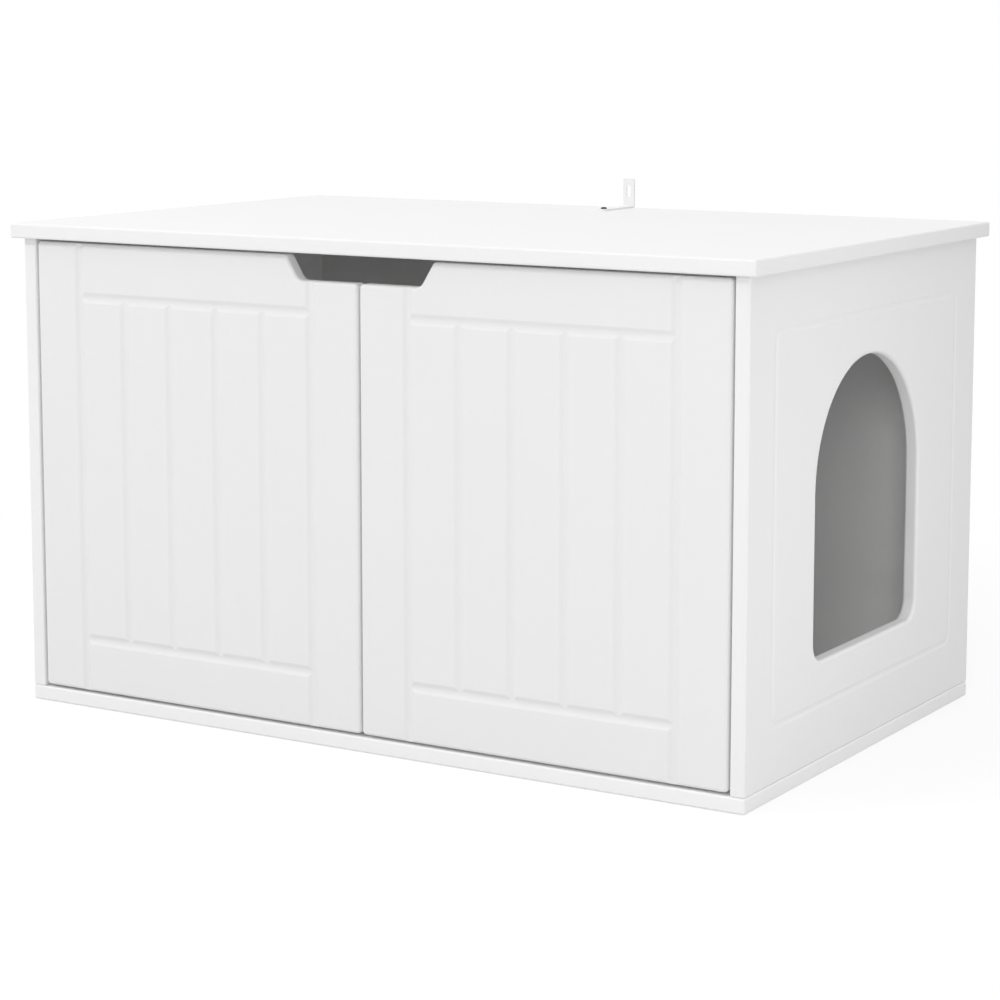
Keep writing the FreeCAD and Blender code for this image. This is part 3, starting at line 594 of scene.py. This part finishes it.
def grow(name, tree, sizes, seats, finish, body, nodes):
    """One piece of plain mesh with a copy of the tree's shape on every seat."""
    points = bpy.data.meshes.new(name + "_seats")
    points.from_pydata([seat for seat, _ in seats], [], [])
    ways = points.attributes.new("way", "FLOAT_VECTOR", "POINT")
    for index, (_, way) in enumerate(seats):
        ways.data[index].vector = way
    holder = bpy.data.objects.new(name + "_seats", points)
    bpy.context.scene.collection.objects.link(holder)
    maker = holder.modifiers.new("grow", "NODES")
    maker.node_group = tree
    given = {item.name: item.identifier for item in tree.interface.items_tree if item.in_out == "INPUT"}
    for size, value in sizes.items():
        maker[given[size]] = value
    maker[given["Finish"]] = finish
    mesh = bpy.data.meshes.new_from_object(holder.evaluated_get(bpy.context.evaluated_depsgraph_get()))
    bpy.data.objects.remove(holder)
    bpy.data.meshes.remove(points)
    mesh.name = name
    mesh.shade_smooth()
    mesh.set_sharp_from_angle(angle=FIXING_CORNER_ANGLE)
    new_piece(name, mesh, finish, body, nodes)


# Wall strap
def ring(centre, half_width, half_height, radius, steps=10):
    """The outline of a rectangle with round corners, as points of a flat curve."""
    points = []
    for corner, (x_side, y_side) in enumerate(((1, 1), (-1, 1), (-1, -1), (1, -1))):
        middle = Vector((centre[0] + x_side * (half_width - radius),
                         centre[1] + y_side * (half_height - radius)))
        for step in range(steps + 1):
            angle = math.pi / 2 * (corner + step / steps)
            points.append(middle + radius * Vector((math.cos(angle), math.sin(angle))))
    return points


def flat_blank(name, rings):
    """A flat sheet inside the first ring, with the other rings as holes in it."""
    curve = bpy.data.curves.new(name, "CURVE")
    curve.dimensions = "2D"
    curve.fill_mode = "BOTH"
    for points in rings:
        spline = curve.splines.new("POLY")
        spline.points.add(len(points) - 1)
        for index, point in enumerate(points):
            spline.points[index].co = (point.x, point.y, 0.0, 1.0)
        spline.use_cyclic_u = True
    holder = bpy.data.objects.new(name, curve)
    bpy.context.scene.collection.objects.link(holder)
    mesh = bpy.data.meshes.new_from_object(holder.evaluated_get(bpy.context.evaluated_depsgraph_get()))
    bpy.data.objects.remove(holder)
    return mesh


def wall_strap():
    """A flat steel blank with its hole and slot, bent up at the back of the top."""
    low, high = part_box("wall_strap")
    foot_level = low.z + STRAP_THICKNESS / 2
    leg_depth = high.y - STRAP_THICKNESS / 2
    half_width = (high.x - low.x) / 2
    foot_length = leg_depth - STRAP_BEND - low.y
    arc_length = STRAP_BEND * math.pi / 2
    leg_length = high.z - foot_level - STRAP_BEND
    total = foot_length + arc_length + leg_length
    slot_along = foot_length + arc_length + low.z + STRAP_SLOT_LEVEL - foot_level - STRAP_BEND
    blank = flat_blank("strap_blank", [
        ring((0, total / 2), half_width, total / 2, STRAP_CORNER),
        ring((0, slot_along), STRAP_SLOT[0] / 2, STRAP_SLOT[1] / 2, STRAP_SLOT[0] / 2),
        ring((0, STRAP_HOLE_INSET), STRAP_HOLE, STRAP_HOLE, STRAP_HOLE),
    ])
    skin = bmesh.new()
    skin.from_mesh(blank)
    bmesh.ops.remove_doubles(skin, verts=skin.verts, dist=WELD)
    for step in range(STRAP_BEND_STEPS + 1):
        along = foot_length + arc_length * step / STRAP_BEND_STEPS
        bmesh.ops.bisect_plane(skin, geom=skin.verts[:] + skin.edges[:] + skin.faces[:],
                               plane_co=(0, along, 0), plane_no=(0, 1, 0))
    for vert in skin.verts:
        along = vert.co.y
        angle = min(max(along - foot_length, 0), arc_length) / STRAP_BEND
        on_leg = max(along - foot_length - arc_length, 0)
        vert.co.y = low.y + min(along, foot_length) + STRAP_BEND * math.sin(angle)
        vert.co.z = foot_level + STRAP_BEND * (1 - math.cos(angle)) + on_leg
    bmesh.ops.recalc_face_normals(skin, faces=skin.faces)
    mesh = to_mesh(skin, "bent_wall_strap", STRAP_CORNER_ANGLE)
    piece = new_piece("bent_wall_strap", mesh, POWDER_COAT, "cabinet", ["wall_strap"])
    wall = piece.modifiers.new("sheet_thickness", "SOLIDIFY")
    wall.thickness = STRAP_THICKNESS
    wall.offset = 0.0
    soft_edges(piece, STRAP_EDGE)
    even_shading(piece)


# The cabinet
for node in ("top_panel", "left_side_panel", "right_side_panel"):
    refinish(node, BOARD_LACQUER)
refinish("base_panel", BASE_LACQUER_PAINTED_LIGHT)
refinish("back_panel", HARDBOARD)
for side in ("left", "right"):
    refinish(f"{side}_door", DOOR_LACQUER)
    for height in ("lower", "upper"):
        hinge = f"{side}_{height}_hinge"
        metal_piece(hinge + "_arm", hinge + "_bowed_arm", NICKEL, "cabinet", HINGE_EDGE)
        metal_piece(hinge + "_plate", hinge + "_winged_plate", NICKEL, "cabinet", HINGE_EDGE)
        metal_piece(hinge + "_cup", hinge + "_sunk_cup", NICKEL, f"{side}_door", HINGE_EDGE)
metal_piece("cam_locks", "cam_drums", CAST_ZINC, "cabinet", CAM_EDGE)
metal_piece("cam_bolts", "cam_pins", BRIGHT_ZINC, "cabinet", CAM_EDGE)
wall_strap()

screws = screw_tree()
pins = pin_tree()
for side in ("left", "right"):
    door = f"{side}_door"
    nodes = [f"{side}_cup_screws"]
    seats = screw_seats(nodes, Y_AXIS)
    grow(f"{side}_cup_fixings", screws, SCREW, seats, BRIGHT_ZINC, door, nodes)
    nodes = [f"{side}_{height}_hinge_pin" for height in ("lower", "upper")]
    grow(f"{side}_hinge_pins", pins, PIN, centres(nodes, UP), NICKEL, door, nodes)
for name, node, sizes, axis, finish, slot in (
        ("plate_fixings", "hinge_plate_screws", SCREW, X_AXIS, BRIGHT_ZINC, "screw_metal"),
        ("arm_fixings", "hinge_arm_screws", ARM_SCREW, X_AXIS, BRIGHT_ZINC, "screw_metal"),
        ("strap_fixing", "wall_strap_screw", SCREW, Z_AXIS, BLACK_COAT, "strap_screw")):
    grow(name, screws, sizes, screw_seats([node], axis), finish, "cabinet", [node])
nodes = ["wood_dowels"]
grow("fluted_dowels", dowel_tree(), DOWEL, centres(nodes, UP), BEECH, "cabinet", nodes)


# Floor, light and camera
def seen_directly(graph):
    """1 for rays that show the background itself or its mirror image, else 0."""
    path = graph.node("ShaderNodeLightPath", output="Is Camera Ray")
    return (path + path.output("Is Glossy Ray") + path.output("Is Transmission Ray")).at_most(1.0)


def white_floor():
    """A floor that keeps a light shadow by the cabinet and goes to plain white away from it."""
    mesh = bpy.data.meshes.new("studio_floor")
    sides = ((-1, -1), (1, -1), (1, 1), (-1, 1))
    corners = [(x_side * FLOOR_REACH, y_side * FLOOR_REACH, FLOOR_LEVEL) for x_side, y_side in sides]
    mesh.from_pydata(corners, [], [(0, 1, 2, 3)])
    floor = bpy.data.objects.new("studio_floor", mesh)
    bpy.context.scene.collection.objects.link(floor)
    material = bpy.data.materials.new("white_paper_floor")
    material.use_nodes = True
    graph = Graph(material.node_tree)
    seen = seen_directly(graph)
    paper = graph.node("ShaderNodeBsdfDiffuse", {}, {"Color": grey(FLOOR_PAPER)})
    pale = graph.node("ShaderNodeBsdfDiffuse", {}, {"Color": grey(FLOOR_SHADE)})
    glow = graph.node("ShaderNodeEmission", {}, {"Color": grey(1.0), "Strength": FLOOR_GLOW})
    shown = graph.node("ShaderNodeAddShader", {}, {0: pale, 1: glow})
    place = graph.node("ShaderNodeTexCoord", output="Object")
    distance = graph.node("ShaderNodeVectorMath", {"operation": "LENGTH"}, {0: place}, output="Value")
    far = between(distance, FLOOR_NEAR, FLOOR_BLEND)
    white = graph.node("ShaderNodeEmission", {}, {"Color": grey(1.0), "Strength": 1.0})
    shown = graph.node("ShaderNodeMixShader", {}, {0: far, 1: shown, 2: white})
    shader = graph.node("ShaderNodeMixShader", {}, {0: seen, 1: paper, 2: shown})
    graph.node("ShaderNodeOutputMaterial", {}, {"Surface": shader})
    mesh.materials.append(material)


def studio_world():
    """A soft white room, lighter overhead, with a white background."""
    world = bpy.data.worlds.new("studio_room")
    bpy.context.scene.world = world
    world.use_nodes = True
    graph = Graph(world.node_tree)
    direction = graph.node("ShaderNodeTexCoord", output="Generated")
    height = graph.node("ShaderNodeSeparateXYZ", {}, {"Vector": direction}, output="Z")
    light = SKY_HORIZON + (SKY_ZENITH - SKY_HORIZON) * height.at_least(0.0)
    seen = seen_directly(graph)
    strength = seen + (1.0 - seen) * light
    sky = graph.node("ShaderNodeBackground", {}, {"Color": grey(1.0), "Strength": strength})
    graph.node("ShaderNodeOutputWorld", {}, {"Surface": sky})


def soft_box(name, size, power, place, target):
    """A square lamp at a place, turned to face a target, that only lights and is never seen itself."""
    lamp = bpy.data.lights.new(name, "AREA")
    lamp.size = size
    lamp.energy = power
    holder = bpy.data.objects.new(name, lamp)
    bpy.context.scene.collection.objects.link(holder)
    holder.location = place
    holder.rotation_euler = (Vector(place) - Vector(target)).to_track_quat("Z", "Y").to_euler()
    holder.visible_camera = False
    holder.visible_glossy = False


def studio_lamps():
    """A small key in front of the doors, above and to the left, and broad fills by the entry and in front."""
    flat = math.cos(KEY_HEIGHT)
    away = Vector((-math.sin(KEY_SIDE) * flat, -math.cos(KEY_SIDE) * flat, math.sin(KEY_HEIGHT)))
    doors = Vector((0, door_front, MIDDLE_HEIGHT))
    soft_box("key_light", KEY_SIZE, KEY_POWER, doors + away * KEY_DISTANCE, doors)
    soft_box("entry_fill", FILL_SIZE, FILL_POWER, FILL_PLACE, FILL_TARGET)
    soft_box("front_fill", FRONT_SIZE, FRONT_POWER, FRONT_PLACE, FRONT_TARGET)


def photo_camera():
    """A long lens in front of the doors and to the right, looking slightly down."""
    lens = bpy.data.cameras.new("photo_camera")
    lens.sensor_width = CAMERA_SENSOR
    lens.lens = CAMERA_LENS
    lens.shift_y = CAMERA_SHIFT
    camera = bpy.data.objects.new("photo_camera", lens)
    bpy.context.scene.collection.objects.link(camera)
    camera.location = CAMERA_PLACE
    camera.rotation_euler = (math.pi / 2 - CAMERA_DIP, 0, CAMERA_TURN)
    bpy.context.scene.camera = camera


white_floor()
studio_world()
studio_lamps()
photo_camera()
scene = bpy.context.scene
scene.view_settings.view_transform = "Standard"
scene.cycles.diffuse_bounces = ROOM_BOUNCES
scene.cycles.max_bounces = ROOM_BOUNCES
